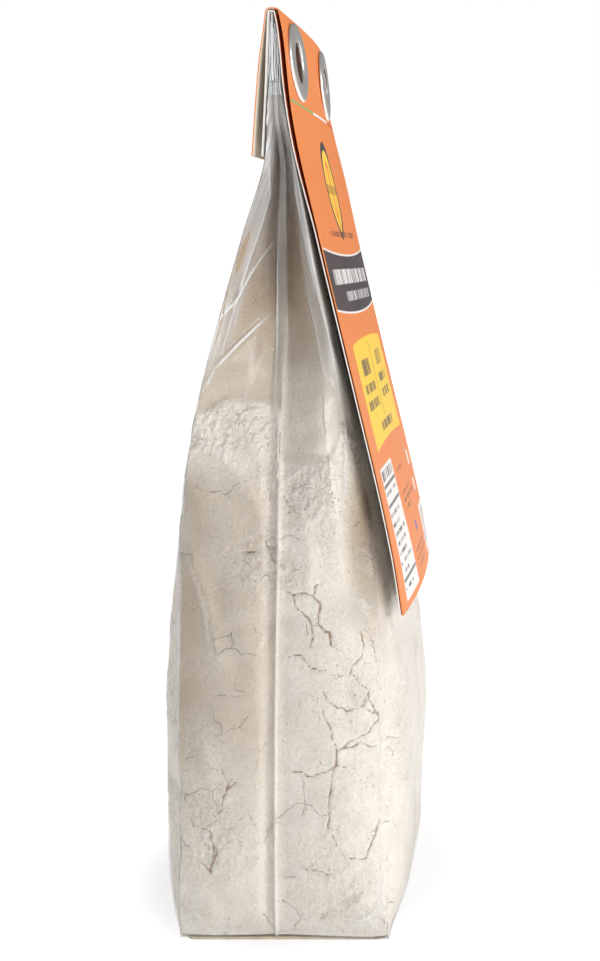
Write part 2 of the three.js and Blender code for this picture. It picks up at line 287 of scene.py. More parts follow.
def formAt(z):
    lines = {k: v for k, v in bagForm.items() if k != "heights" and isinstance(v, list)}
    return {k: smoothValue(bagForm["heights"], v, z) for k, v in lines.items()}


def cardLine(key, z):
    return smoothValue(cardShape[key + "Heights"], cardShape[key], z)


def bagColumns(nearSteps, pleatSteps, broadSteps, farSteps):
    columns = []  # (side, share): sides 0 near left, 1 pleat, 2 near right, 3 front, 4-6 far, 7 back
    around = (nearSteps, pleatSteps, nearSteps, broadSteps, farSteps, 6, farSteps, broadSteps)
    for side, steps in enumerate(around):
        columns += [(side, i / steps) for i in range(steps)]
    return np.array([c[0] for c in columns]), np.array([c[1] for c in columns])


def gussetDepth(form, a):
    arch = 0.55 * (1 - (1 - a) ** 2.5) + 0.45 * np.sin(np.pi * a)
    return form["half"] + form["sideBulge"] * arch - form["tuck"] * a


def bagPlaces(side, share, z, pleatSharpness):
    form = formAt(z)
    halfPleat = form["pleatWidth"] / 2
    q = 2 * share - 1
    sharp = pleatSharpness(z)
    rise = form["ridge"] * (1 - np.abs(q) ** sharp)
    left = form["pleat"] - halfPleat
    right = form["pleat"] + halfPleat
    t = -np.cos(np.pi * share)
    backX, frontX = form["back"], form["front"]
    bulge = 1 - t**4
    xs = [
        backX + (left - backX) * share,
        form["pleat"] + q * halfPleat,
        right + (frontX - right) * share,
        frontX + form["frontBulge"] * bulge,
        frontX + (right - frontX) * share,
        form["pleat"] - q * halfPleat,
        left + (backX - left) * share,
        backX - form["backBulge"] * bulge,
    ]
    inward = gussetDepth(form, 1 - share)
    outward = gussetDepth(form, share)
    middle = gussetDepth(form, np.ones_like(share)) + rise
    groove = bagForm["groove"] * (1 - smoothStep(z, 120, 150)) * smoothStep(z, 2, 14)
    besideLeft = groove * bell(xs[0] - left + 1.5, 1.5)
    besideRight = 0.35 * groove * bell(xs[2] - right - 1.6, 1.4)
    drawn = drawnCorner["depth"] * bell(z - drawnCorner["height"], drawnCorner["reach"]) * (z > 0)
    foot = bagForm["footDrop"] * (1 - smoothStep(z, 1, 16))
    footRight = foot * smoothStep(xs[2], 0, 26)
    cornerIn = drawn * smoothStep(xs[2] / np.maximum(frontX, 1), drawnCorner["from"], 1.0)
    frontIn = drawn * (1 - smoothStep(share, 0, 0.3)) - foot * (1 - smoothStep(share, 0, 0.12))
    ys = [-outward + besideLeft, -middle, -inward + besideRight + cornerIn - footRight,
          form["half"] * t + frontIn, outward, middle, inward, -form["half"] * t]
    x = np.choose(side, xs)
    y = np.choose(side, ys)
    frontShare = np.clip((x - backX) / np.maximum(frontX - backX, 0.5), 0, 1)
    x = x + smoothStep(z, 206, 240) * bowAt(z, y)
    x = x + smoothStep(z, 190, 220) * frontLead(z, y) * frontShare
    return x, y


def softenCorner(side, x, y, z):
    # the near front corner is a soft bend, drawn as a curve between two points either side of it
    start, corner, stop = (int(np.argmax(side[0] == n)) for n in (2, 3, 4))
    for row in range(len(x)):
        level = z[row, 0]
        reach = drawnCorner["bend"] * smoothStep(level, 3, 14) * (1 - 0.65 * smoothStep(level, 150, 175))
        if reach < 0.5:
            continue
        px, py = x[row, start:stop].copy(), y[row, start:stop].copy()
        s = np.concatenate([[0], np.cumsum(np.hypot(np.diff(px), np.diff(py)))])
        s -= s[corner - start]
        bent = np.nonzero(np.abs(s) < reach)[0]
        t = (s[bent] + reach) / (2 * reach)
        for line, values in ((x, px), (y, py)):
            first, last = np.interp([-reach, reach], s, values)
            middle = values[corner - start]
            line[row, start + bent] = (1 - t) ** 2 * first + 2 * t * (1 - t) * middle + t * t * last


foldRoutes = [  # height mm, width mm, turns of a soft fold on the near side
    (1.1, 3.2, [(-26, 150), (-17, 139), (-9, 129), (-2, 118)]),
    (1.0, 2.8, [(-31, 124), (-26, 108), (-20, 92), (-17, 80)]),
    (0.8, 2.6, [(-29, 72), (-22, 58), (-20, 46)]),
    (0.9, 3.0, [(20, 98), (27, 92), (30, 84)]),
    (0.8, 3.0, [(-31, 20), (-22, 12), (-18, 2)]),
    (0.9, 3.0, [(12, 4), (22, 12), (30, 18)]),
    (0.7, 2.6, [(4, 130), (8, 112), (6, 96)]),
    (0.8, 3.4, [(-14, 92), (-8, 84), (-6, 70)]),
]


def broadRelief(side, x, y, z):
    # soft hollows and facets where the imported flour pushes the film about
    swell = 0.8 * softNoise(x, y, z, 27, 11, 2) + 0.45 * softNoise(x + 0.35 * z, y, z, 11, 12, 2)
    fold = np.abs(softNoise(x * 0.9 + 0.5 * z, y, z * 0.8 - 0.4 * x, 21, 14, 1))
    swell += 0.55 * np.minimum(fold * 2.2, 1) - 0.35
    for height, wide, route in foldRoutes:
        d, along = routeDistance(x, z, route)
        swell += (side <= 2) * height * bell(d, wide) * np.sin(np.pi * np.clip(along, 0.04, 0.96)) ** 0.6
    calm = np.where(side == 1, 0.35, 1.0)
    return (swell - 0.35) * calm * smoothStep(z, 3, 12) * (1 - smoothStep(z, 165, 200))


def surfaceNormals(p):
    around = np.roll(p, -1, axis=1) - np.roll(p, 1, axis=1)
    up = np.gradient(p, axis=0)
    n = np.cross(around, up)
    return n / np.maximum(np.linalg.norm(n, axis=2, keepdims=True), 1e-9)


def bagSurface(piece, heights, sharpness):
    side, share = bagColumns(piece["nearSteps"], piece["pleatSteps"], piece["broadSteps"], piece["farSteps"])
    z = heights[:, None] * np.ones((1, len(side)))
    side = np.ones_like(z, int) * side
    share = np.ones_like(z) * share
    x, y = bagPlaces(side, share, z, sharpness)
    softenCorner(side, x, y, z)
    places = np.stack([x, y, z], axis=2)
    return side, share, x, y, z, places, surfaceNormals(places)


def closedLoft(name, places, marks):
    rows, columns = places.shape[:2]
    bm = bmesh.new()
    bmesh.ops.create_grid(bm, x_segments=columns, y_segments=rows - 1, size=0.5)
    mesh = bpy.data.meshes.new(name)
    bm.to_mesh(mesh)
    bm.free()
    co = np.zeros(len(mesh.vertices) * 3)
    mesh.vertices.foreach_get("co", co)
    co = co.reshape(-1, 3)
    column = np.rint((co[:, 0] + 0.5) * columns).astype(int)
    row = np.rint((co[:, 1] + 0.5) * (rows - 1)).astype(int)
    wrapped = column % columns
    placed = places[row, wrapped] * mm
    placed[:, 0] += beltCentre * mm
    mesh.vertices.foreach_set("co", placed.astype(np.float32).ravel())
    for key, values in marks.items():
        mark = mesh.attributes.new(key, "FLOAT", "POINT")
        mark.data.foreach_set("value", values[row, wrapped].astype(np.float32))
    bm = bmesh.new()
    bm.from_mesh(mesh)
    seam = [v for v, c in zip(bm.verts, column) if c in (0, columns)]
    bmesh.ops.remove_doubles(bm, verts=seam, dist=1e-7)
    bmesh.ops.holes_fill(bm, edges=[e for e in bm.edges if e.is_boundary], sides=0)
    caps = [f for f in bm.faces if len(f.verts) > 4]
    bmesh.ops.triangulate(bm, faces=caps)
    bmesh.ops.recalc_face_normals(bm, faces=bm.faces)
    if bm.calc_volume(signed=True) < 0:  # the thin top can mislead the operator
        bmesh.ops.reverse_faces(bm, faces=bm.faces)
    for f in bm.faces:
        f.smooth = True
    bm.to_mesh(mesh)
    bm.free()
    return intoScene(name, mesh)


def finishPiece(piece, material, slot, *nodes):
    if material is not None:
        piece.data.materials.append(material)
    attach(piece, "root")
    if nodes:
        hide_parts(*nodes)
    return piece


# flour

flour = {
    "top": 246.0,  # mm, the highest dust inside the film
    "rows": 280,
    "upperFrom": 172,  # mm, coarser rows from here up
    "upperRows": 50,
    "nearSteps": 66,
    "pleatSteps": 6,
    "broadSteps": 56,
    "farSteps": 14,
    "inset": 0.45,  # mm behind the film
    "thinInset": 0.14,  # the same where the shoulder is thin
    "hug": 2.2,  # mm further in behind the back panel
    "leftLine": ([-30, -24, -19, -12, -5, 0], [153, 154, 156, 157.5, 156, 146]),  # x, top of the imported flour
    "rightLine": ([0, 8, 13, 17, 22], [136.5, 138, 141, 149, 154]),
    "otherLine": 150,  # the same on the other sides
    "lineWander": 3.2,
    "climb": ([120, 150, 165, 185, 205, 222, 246], [0.10, 0.2, 0.37, 0.60, 0.76, 0.88, 1.0]),  # z, darker dust and painted shade, darkest inside the neck
    "hollowDepth": 1.4,  # mm, where the loose flour has fallen away
    "lumpSize": 1.9,
    "lumpDepth": 0.42,
    "grainSize": 1.1,
    "grainDepth": 0.36,
    "proud": 0.35,  # mm, the most that a crumb stands out
    "crackStep": 1.3,
    "crackSway": 0.55,
    "crackWidth": 0.92,
    "crackDepth": 0.28,
    "crackLip": 0.09,
    # painted shade: how much the near left half is darkened in colour
    "leftShade": 0.3,
    # painted shade: how much the near front corner beside the card is darkened
    "cardShade": 0.92,
}
# Cracks on the near side: width against crackWidth, then the turns of the route in mm
crackRoutes = [
    (1.0, [(0, 102), (2.5, 101), (6, 102), (8.5, 101), (10.5, 99), (10.5, 97), (10, 93)]),
    (0.8, [(8.5, 101), (9, 103.5), (11.5, 104.5)]),
    (1.0, [(2.5, 101), (4, 97), (6, 95.5), (8, 93), (10, 93)]),
    (0.9, [(8, 93), (8.5, 90), (8, 86.5)]),
    (0.7, [(0, 83), (3.5, 84), (5.5, 84), (7.5, 81), (13, 79), (17, 77.5), (19.5, 78.5)]),
    (1.5, [(10, 93), (13.5, 90.5), (14, 87)]),
    (0.8, [(14, 87), (17.5, 84.5), (19.5, 82)]),
    (0.8, [(19.5, 78.5), (20, 80.5), (23, 83), (23.5, 86.5), (22, 91.5)]),
    (1.1, [(19.5, 78.5), (22, 75.5), (24.5, 73.5), (24.5, 70.5), (27.5, 65)]),
    (0.8, [(30, 69.5), (28.5, 67.5), (27.5, 65)]),
    (0.8, [(6, 73.5), (11, 71.5), (12, 66.5), (14, 62.5), (15.5, 56.5), (15.5, 52.5)]),
    (1.0, [(15.5, 56.5), (19.5, 57), (22.5, 58.5), (26.5, 56.5)]),
    (1.1, [(15.5, 56.5), (15.5, 52.5), (14.5, 51), (13.5, 43.5), (13, 34)]),
    (0.9, [(0, 50), (4.5, 50.5), (8.5, 49), (13.5, 51), (15.5, 52.5)]),
    (0.6, [(15.5, 52.5), (21, 51)]),
    (0.7, [(14, 32.5), (15.5, 28.5), (18, 25), (24, 24), (27.5, 34), (31, 45.5)]),
    (0.8, [(5, 24), (6.5, 22), (13.5, 20.5)]),
    (0.9, [(-17.5, 51), (-15.5, 47.5), (-18, 39), (-19, 38)]),
    (1.1, [(-23, 29), (-19.5, 27.5), (-21.5, 20.5), (-24, 23)]),
    (0.9, [(-12.5, 113.5), (-8.5, 113.5), (-5, 115), (-1.5, 114.5)]),
    (0.6, [(19.5, 66.5), (19.5, 63.5)]),
    (0.9, [(15.5, 56.5), (20, 59), (25, 61), (28, 65)]),
    (0.8, [(11.3, 75), (13.5, 70.5), (18.5, 67.5), (23.5, 69), (25.7, 75)]),
    (0.8, [(23.5, 69), (26.4, 66), (30, 66.7)]),
    (0.7, [(-18.5, 40), (-16.7, 44.5), (-13.8, 47.3), (-8.8, 48)]),
    (0.9, [(-29, 38), (-26.7, 34), (-21.7, 33), (-20.3, 28.7), (-21, 21)]),
    (0.8, [(20.5, 114), (24, 112), (28.5, 106.5)]),
]
# Crumbly patches on the near side: x, z, radius, strength
crumbPatches = [
    (-20, 148, 7, 1.0), (-12, 146, 8, 0.8), (-4, 133, 5, 0.9), (8, 131, 8, 1.2), (14, 138, 4, 0.7),
    (-8, 112, 8, 0.9), (-2, 106, 7, 0.8), (12, 118, 6, 0.7), (27, 108, 4, 1.2), (-22, 40, 7, 1.0),
    (-21, 26, 6, 1.2), (-14, 32, 7, 0.8), (20, 72, 9, 0.6), (24, 48, 8, 0.5), (12, 24, 9, 0.7),
    (20, 12, 8, 0.7), (-24, 60, 6, 0.6), (-26, 148, 5, 0.9),
]


def makeFlour():
    low = bagForm["heights"][0] + 0.5
    lower = np.linspace(low, flour["upperFrom"], flour["rows"])
    higher = np.linspace(flour["upperFrom"], flour["top"], flour["upperRows"] + 1)[1:]
    heights = np.concatenate([lower, higher])
    side, share, x, y, z, p, normal = bagSurface(flour, heights, lambda h: 2.0 + 0 * h)
    near = (side <= 2).astype(float)
    upper = smoothStep(z, 160, 196)
    form = formAt(z)
    through = form["front"] - form["back"]
    # the inset shrinks toward the thin edges of the shoulders, where the two walls meet
    broad = (side == 3) | (side == 7)
    inboard = np.where((side == 0) | (side == 4), share, np.where((side == 2) | (side == 6), 1 - share, 1.0))
    broadThick = smoothStep(1 - np.abs(np.cos(np.pi * share)), 0.42, 0.8)
    thick = np.where(broad, broadThick, smoothStep(inboard, 0.3, 1.0))
    hug = flour["hug"] * (side == 7) * smoothStep(through, 6, 16)
    inset = flour["inset"] + upper * (hug + 0.8 * smoothStep(through, 5, 12))
    inset = inset * (1 - upper * (1 - thick)) + flour["thinInset"] * upper * (1 - thick)

    # where the flour is packed against the film, and where only dust clings to it
    wander = softNoise(x, y, z, 9, 3, 3)
    left = x < form["pleat"]
    nearLine = np.where(left, smoothValue(*flour["leftLine"], x), smoothValue(*flour["rightLine"], x))
    nearLine = nearLine + flour["lineWander"] * wander
    otherLine = flour["otherLine"] + 7 * softNoise(x, y, 0 * z, 26, 8, 2) + 2.5 * wander
    packLine = np.where(near > 0, nearLine, otherLine)
    packed = 1 - smoothStep(z, packLine - 2.2, packLine + 1.4)
    loose = 1 - packed

    crumbs = (1 - near) * np.clip(1.6 * softNoise(x, y, z, 17, 31, 2), 0, 1)
    for cx, cz, radius, strength in crumbPatches:
        crumbs += near * strength * bell(np.hypot(x - cx, z - cz), radius)
    crumbs = np.clip(crumbs + 0.55 * bell(z - (packLine - 7), 7), 0, 1.3) * packed
    lump = smoothStep(softNoise(x, y, z, flour["lumpSize"], 21, 3), -0.1, 0.45) - 0.6
    grain = softNoise(x, y, z, flour["grainSize"], 22, 2)
    rough = crumbs * (flour["lumpDepth"] * lump + flour["grainDepth"] * grain)
    # painted shade: darker colour in the crumbs' hollows
    hollowShade = np.clip(-1.6 * rough, 0, 1)
    fallen = loose * near * smoothStep(z, 138, 142) * (1 - smoothStep(z, 158, 172))
    relief = rough + packed * 0.05 * grain - flour["hollowDepth"] * fallen

    crack = np.zeros_like(z)
    crackGap = np.full(z.shape, 3.0)
    wobble = 0.75 + 0.5 * softNoise(x, y, z, 3.5, 41, 1)
    for n, (wide, route) in enumerate(crackRoutes):
        turns = jaggedRoute(route, flour["crackStep"], flour["crackSway"], 50 + n)
        (lowX, lowZ), (highX, highZ) = np.min(turns, axis=0) - 3, np.max(turns, axis=0) + 3
        reach = (x > lowX) & (x < highX) & (z > lowZ) & (z < highZ) & (near > 0)
        d, along = routeDistance(x[reach], z[reach], turns)
        taper = 0.58 + 0.42 * np.sin(np.pi * np.clip(along, 0.08, 0.92))
        width = flour["crackWidth"] * wide * wobble[reach] * taper
        cut = np.clip(1 - d / np.maximum(width, 0.1), 0, 1)
        crackGap[reach] = np.minimum(crackGap[reach], d - 0.36 * width)
        crack[reach] = np.maximum(crack[reach], cut * min(1, 0.5 + 0.5 * wide))
        relief[reach] += bell(d - width * 1.6, 0.5) * flour["crackLip"]
    relief = relief - flour["crackDepth"] * smoothStep(crack, 0, 0.9)
    relief = relief * (1 - smoothStep(z, 200, 225)) * smoothStep(z, low, low + 5)
    out = np.minimum(relief, flour["proud"]) - inset + broadRelief(side, x, y, z)
    p = p + normal * out[:, :, None]
    p[0, :, 2] = low
    p[:, :, 2] = np.clip(p[:, :, 2], low, flour["top"])

    # dust and painted shade: 0 packed cream flour, then tan and brown grey dust, darkening to painted shade inside
    # the neck; painted shade beside the card and on the near left is laid on the packed flour
    middle = bell(x - form["pleat"] - 2, np.maximum(0.32 * through, 3))
    clingAndShade = smoothValue(*flour["climb"], z) - 0.06 + 0.07 * wander
    # darker on the near left up to about 200 mm, and toward the middle from about 165 mm up
    clingAndShade += 0.1 * near * left * (1 - smoothStep(z, 190, 205)) + 0.14 * middle * smoothStep(z, 165, 200)
    # painted shade on the near left half, stronger toward its far edge and weaker near the foot
    shadeLeft = near * (1 - smoothStep(x, -8, 2)) * (1 - smoothStep(z, 128, 142))
    shadeLeft *= (0.1 + 0.9 * smoothStep(z, 15, 75)) * (1 + 0.4 * (1 - smoothStep(x, -30, -20)))
    # painted shade where the card shades the near front corner, around 124 mm up
    shadeCard = near * smoothStep(x, 15, 25) + (side == 3) * (1 - smoothStep(share, 0, 0.35))
    shade = flour["leftShade"] * shadeLeft + flour["cardShade"] * shadeCard * bell(z - 124, 27)
    dust = loose * np.clip(clingAndShade, 0, 1) + packed * np.clip(shade + 0.05 * wander, 0, 1)
    marks = {"dust": dust, "crackGap": crackGap, "crumb": crumbs, "packed": packed, "hollowShade": hollowShade}
    return closedLoft("flour", p, marks)


flourLook = {
    "cream": (0.88, 0.838, 0.775),
    "tan": (0.56, 0.485, 0.395),
    "greyBrown": (0.37, 0.275, 0.19),
    # painted shade: the dark inside of the neck
    "dark": (0.12, 0.072, 0.042),
    "speck": (0.30, 0.18, 0.10),
    "crackShade": (0.37, 0.215, 0.115),
    "crackLip": (0.88, 0.85, 0.79),
    # painted shade colour for the crumbs' hollows
    "hollowShade": (0.62, 0.50, 0.37),
    "cloud": (0.86, 0.83, 0.77),
    "grain": (0.80, 0.755, 0.69),
    "crumb": (0.93, 0.89, 0.82),
    "rough": 0.88,
    "specular": 0.25,
    "bumpHeight": 0.0012,  # m
}


def flourMaterial():
    look = flourLook
    b = Board("flourFinish")
    place, crumb, packed = b.place(), b.mark("crumb"), b.mark("packed")
    # the ramp runs from cream flour through tan and brown grey dust to painted shade inside the neck
    ramp = b.node("ValToRGB", {"Fac": b.mark("dust")})
    stops = ramp.color_ramp.elements
    stops[0].position, stops[0].color = 0.0, (*look["cream"], 1)
    stops[1].position, stops[1].color = 1.0, (*look["dark"], 1)
    for position, key in ((0.38, "tan"), (0.72, "greyBrown")):
        stops.new(position).color = (*look[key], 1)
    tone = b.blend(b.span(b.noise(place, 160, 4, 0.6), 0.35, 0.72, 0, 0.3), ramp.outputs["Color"], look["tan"])
    tone = b.blend(b.span(b.noise(place, 45, 3, 0.5), 0.4, 0.7, 0, 0.10), tone, look["cloud"])
    # pits and specks
    pitGate = b.span(b.plus(b.noise(place, 240, 2, 0.5), b.times(crumb, 0.1)), 0.58, 0.68)
    pit = b.times(b.span(b.cells(place, 900), 0.09, 0.20, 1, 0), pitGate, True)
    tone = b.blend(b.times(pit, 0.55), tone, look["crackShade"])
    speckGate = b.span(b.noise(place, 95, 2, 0.5), 0.63, 0.67)
    speck = b.times(b.span(b.cells(place, 620), 0.05, 0.09, 1, 0), speckGate, True)
    tone = b.blend(b.times(speck, 0.5), tone, look["speck"])
    # hair cracks along wandering cell edges
    wander = b.noise(place, 260.0, 2.0, 0.5, "Color")
    shift = b.node("VectorMath", {0: wander, "Scale": 0.004}, {"operation": "SCALE"}).outputs[0]
    hairPlace = b.node("VectorMath", {0: place, 1: shift}, {"operation": "ADD"}).outputs[0]
    hair = b.span(b.cells(hairPlace, 95, "DISTANCE_TO_EDGE"), 0.0, 0.014, 1, 0)
    hair = b.times(b.times(hair, b.span(b.noise(place, 75, 2), 0.56, 0.6), True), packed)
    tone = b.blend(b.times(hair, 0.28), tone, look["crackShade"])
    # painted shade in the crumbs' hollows
    tone = b.blend(b.times(b.mark("hollowShade"), 0.2), tone, look["hollowShade"])
    # the cracks themselves, with ragged sides and a pale lip
    ragged = b.times(b.maths("SUBTRACT", b.noise(place, 800, 5, 0.7), 0.5), 0.9)
    gap = b.plus(b.mark("crackGap"), ragged)
    split = b.span(gap, -0.16, 0.10, 1, 0)
    lip = b.times(b.span(gap, 0.05, 0.5, 1, 0), b.span(gap, -0.1, 0.08))
    tone = b.blend(b.times(lip, 0.3), tone, look["crackLip"])
    tone = b.blend(b.times(split, 0.92), tone, look["crackShade"])
    dustGrain = b.noise(place, 1150, 3, 0.65)
    tone = b.blend(b.span(dustGrain, 0.42, 0.68, 0, 0.5), tone, look["grain"], "MULTIPLY")
    tone = b.blend(b.times(crumb, b.span(dustGrain, 0.3, 0.6, 0.45, 0.1), True), tone, look["crumb"])
    clump = b.times(b.noise(place, 480, 4, 0.6), b.plus(b.times(crumb, 0.8), 0.35))
    height = b.plus(clump, b.times(b.noise(place, 1500, 3, 0.6), 0.3))
    cuts = b.plus(b.plus(pit, b.times(hair, 0.4)), b.times(split, 0.35))
    height = b.maths("SUBTRACT", height, b.times(cuts, 0.6))
    return b.finish(b.coat(tone, look["rough"], b.bump(height, 1.0, look["bumpHeight"]), look["specular"]))


# film

film = {
    "rows": 300,
    "nearSteps": 56,
    "pleatSteps": 10,
    "broadSteps": 48,
    "farSteps": 24,
    "proud": 1.1,  # mm, the most that the film is pushed out
    "neckPleats": 0.4,  # mm
    "cornerHaze": 0.2,
    "edgeHaze": (0.3, 0.08),  # beside the corners, and what is added higher up
    "neckHaze": 0.14,
    "shoulderHaze": 0.42,
    "pleatHazeAndHighlight": (0.22, 0.3, 0.5),  # milky flat band, then painted highlight on the lower ridge and on the band's two edges
}
# Creases pressed into the near side: height mm, width mm, brightness (whitened film and painted highlight along
# the crease), turns of the route in mm
creaseRoutes = [
    (0.9, 0.55, 0.9, [(-21, 166), (-14.5, 173.5), (-7, 181.5)]),
    (0.7, 0.45, 0.7, [(-20, 180), (-16, 185), (-11, 195.5), (-6.5, 203.5)]),
    (0.5, 0.4, 0.7, [(-25, 161), (-23, 161.5), (-21, 166)]),
    (0.5, 0.45, 0.55, [(-20, 167), (-14, 191), (-6.5, 217), (-5, 236)]),
    (0.4, 0.4, 0.45, [(-24, 168), (-17, 193), (-8.5, 218)]),
    (0.4, 0.5, 0.5, [(13, 172), (6, 200), (0.5, 226)]),
    (0.6, 0.4, 0.6, [(17, 155), (16, 163.5), (13, 176), (5.5, 205)]),
    (0.5, 0.5, 0.45, [(16.5, 156), (10.5, 165.5), (6.5, 183.5), (3, 203.5)]),
    (0.4, 0.4, 0.5, [(17, 155), (16.5, 142.5), (17, 122.5)]),
    (0.4, 0.4, 0.35, [(17, 155), (19.5, 142.5), (23.5, 128), (27, 113.5), (29, 99)]),
    (0.3, 0.5, 0.25, [(-31, 128), (-30.6, 93.5), (-30.6, 53)]),
    (0.5, 0.5, 0.3, [(-28, 112), (-22, 96), (-20, 80)]),
    (0.4, 0.5, 0.3, [(22, 98), (27, 96), (30, 100)]),
    (0.5, 0.6, 0.3, [(-28, 12), (-20, 2)]),
    (0.6, 0.6, 0.3, [(16, 4), (24, 8), (30, 12)]),
    (0.5, 0.6, 0.35, [(20, 12), (26, 6), (29, 2)]),
]


# Painted highlights, as milky patches on bright facets of the film at the foot and shoulder: x, z, reach in each,
# strength
glints = [
    (25, 8, 4.5, 2.0, 0.22), (28, 14, 2.0, 3.5, 0.2), (-28, 6, 2.5, 3.0, 0.25), (-26, 13, 2.0, 4.0, 0.25),
    (-18, 3.5, 6.0, 1.2, 0.3), (12, 3.0, 6.0, 1.0, 0.25), (21, 98, 3.0, 3.5, 0.25), (-29, 118, 1.5, 8.0, 0.2),
]


def pleatSharpness(z):
    return smoothValue([1, 110, 135, 150, 240], [1.25, 1.25, 2.4, 5, 5], z)


def makeFilm():
    low, top = bagForm["heights"][0], bagForm["heights"][-1]
    heights = np.linspace(low, top, film["rows"])
    side, share, x, y, z, p, normal = bagSurface(film, heights, pleatSharpness)
    near = (side <= 2).astype(float)
    form = formAt(z)
    through = np.maximum(form["front"] - form["back"], 4)

    upper = smoothStep(z, 148, 175) * (1 - smoothStep(z, 236, 249))
    push = 0.10 * softNoise(x, y, z, 14, 61, 2) + broadRelief(side, x, y, z)
    pull = softNoise(x / through * 60, y * 0.55, z * 0.18, 6, 62, 2)  # pleats that run up to the neck
    push += upper * film["neckPleats"] * pull
    corner = np.where(side == 0, share, np.where(side == 2, 1 - share, np.where(side == 1, 1, 0)))
    bare = 0.3 + 0.7 * bell(corner, 0.35)
    # one mark for the film's milky haze and its painted highlights along creases, at glints and on the pleat's
    # ridge and edges
    veil = 0.03 + upper * bare * np.clip(0.14 + 0.5 * pull, 0, 0.5)
    # crease brightness: partly whitened film, partly painted highlight
    for height, wide, bright, route in creaseRoutes:
        d, along = routeDistance(x, z, route)
        fade = np.sin(np.pi * np.clip(along, 0.03, 0.97)) ** 0.5
        push += near * height * fade * bell(d, wide)
        veil = np.maximum(veil, near * bright * fade * bell(d, wide * 0.7))
    veil += near * film["cornerHaze"] * bell(corner, 0.03)
    # painted highlights on the film's bright facets
    for cx, cz, wideX, wideZ, strength in glints:
        veil += near * strength * bell((x - cx) / wideX, 1) * bell((z - cz) / wideZ, 1)
    edge = bell(corner, 0.22 + 0.35 * smoothStep(z, 185, 235)) * smoothStep(z, 158, 180) * near
    edgeHaze, edgeHazeAdded = film["edgeHaze"]
    veil += (edgeHaze + edgeHazeAdded * smoothStep(z, 175, 215)) * edge
    veil += film["neckHaze"] * smoothStep(z, 226, 246)
    shoulder = film["shoulderHaze"] * smoothStep(z, 178, 214) * (1 - smoothStep(share, 0.35, 0.9))
    veil = np.where((side == 0) & (z > 170), np.maximum(veil, shoulder), veil)
    push = push * smoothStep(z, low, low + 4) * (1 - smoothStep(z, 240, top))
    p = p + normal * np.minimum(push, film["proud"])[:, :, None]
    p[0, :, 2] = low
    p[-1, :, 2] = top
    q = np.abs(2 * share - 1)
    band, ridge, bandEdge = film["pleatHazeAndHighlight"]
    # the pleat: milky flat band higher up, painted highlight along the lower ridge and the band's edges
    bright = band * smoothStep(z, 150, 190) + ridge * bell(q, 0.5) * (1 - smoothStep(z, 120, 140))
    bright += bandEdge * bell(q - 0.97, 0.12) * smoothStep(z, 110, 135) * (1 - smoothStep(z, 190, 205))
    return closedLoft("film", p, {"veil": np.clip(veil + (side == 1) * bright, 0, 1)})


filmLook = {
    "milk": (0.735, 0.74, 0.742),
    "milkRough": 0.35,
    "clear": (0.985, 0.98, 0.975),
    "rough": 0.08,
    "rim": 0.42,  # how strongly the edges mirror
}


def filmMaterial(name, haze=None):
    b = Board(name)
    place = b.place()
    streak = b.span(b.noise(b.place((1, 1, 0.12)), 420, 3, 0.6), 0.5, 0.75, 0, 0.35)
    # the mark holds milky haze and painted highlights; the neck's folds get even haze
    markedHazeAndHighlight = b.mark("veil") if haze is None else haze
    veil = b.plus(markedHazeAndHighlight, b.span(b.noise(place, 70), 0.45, 0.8, 0, 0.06))
    veil = b.plus(veil, b.times(streak, markedHazeAndHighlight), True)
    wrinkle = b.times(b.noise(place, 130, 4), 0.35)
    bump = b.bump(b.plus(wrinkle, b.noise(b.place((1, 1, 0.35)), 34, 2, 0.5)), 0.5, 0.0016)
    clear = b.node("BsdfTransparent", {"Color": filmLook["clear"]}).outputs[0]
    body = b.mix(veil, clear, b.coat(filmLook["milk"], filmLook["milkRough"], bump))
    gloss = b.node("BsdfGlossy", {"Roughness": filmLook["rough"], "Normal": bump}).outputs[0]
    rim = b.times(b.node("Fresnel", {"IOR": 1.42, "Normal": bump}).outputs[0], filmLook["rim"], True)
    return b.finish(b.mix(rim, body, gloss))


# header cards


def cardProfile(frontOf, backOf, topOut, spacing, frontRound, backRound):
    # x, z and the share of the front panel's lead along the card's middle line
    half = cardShape["thickness"] / 2
    top = topOut - half
    frontTop, backTop = top - frontRound, top - backRound
    steps = int((frontTop - cardShape["foot"]) / spacing)
    climb = [cardShape["foot"] + (frontTop - cardShape["foot"]) * i / steps for i in range(steps + 1)]
    line = [(float(frontOf(z)) - half, z, 1.0) for z in climb]
    frontX = float(frontOf(frontTop)) - half
    backX = float(backOf(backTop)) + half
    bendSteps = 6
    for i in range(1, bendSteps + 1):
        angle = math.pi / 2 * i / bendSteps
        x = frontX - frontRound * (1 - math.cos(angle))
        line.append((x, frontTop + frontRound * math.sin(angle), 1 - i / (2 * bendSteps + 1)))
    for i in range(bendSteps + 1):
        angle = math.pi / 2 * (1 + i / bendSteps)
        x = backX + backRound * (1 + math.cos(angle))
        line.append((x, backTop + backRound * math.sin(angle), (bendSteps - i) / (2 * bendSteps + 1)))
    steps = int((backTop - cardShape["flapFoot"]) / spacing)
    fall = [backTop + (cardShape["flapFoot"] - backTop) * i / steps for i in range(1, steps + 1)]
    return np.array(line + [(float(backOf(z)) + half, z, 0.0) for z in fall])


eyelet = {"diameter": 24.0, "bore": 12.4, "spacing": 50.0, "height": 257.8, "segments": 96, "rise": 0.95}


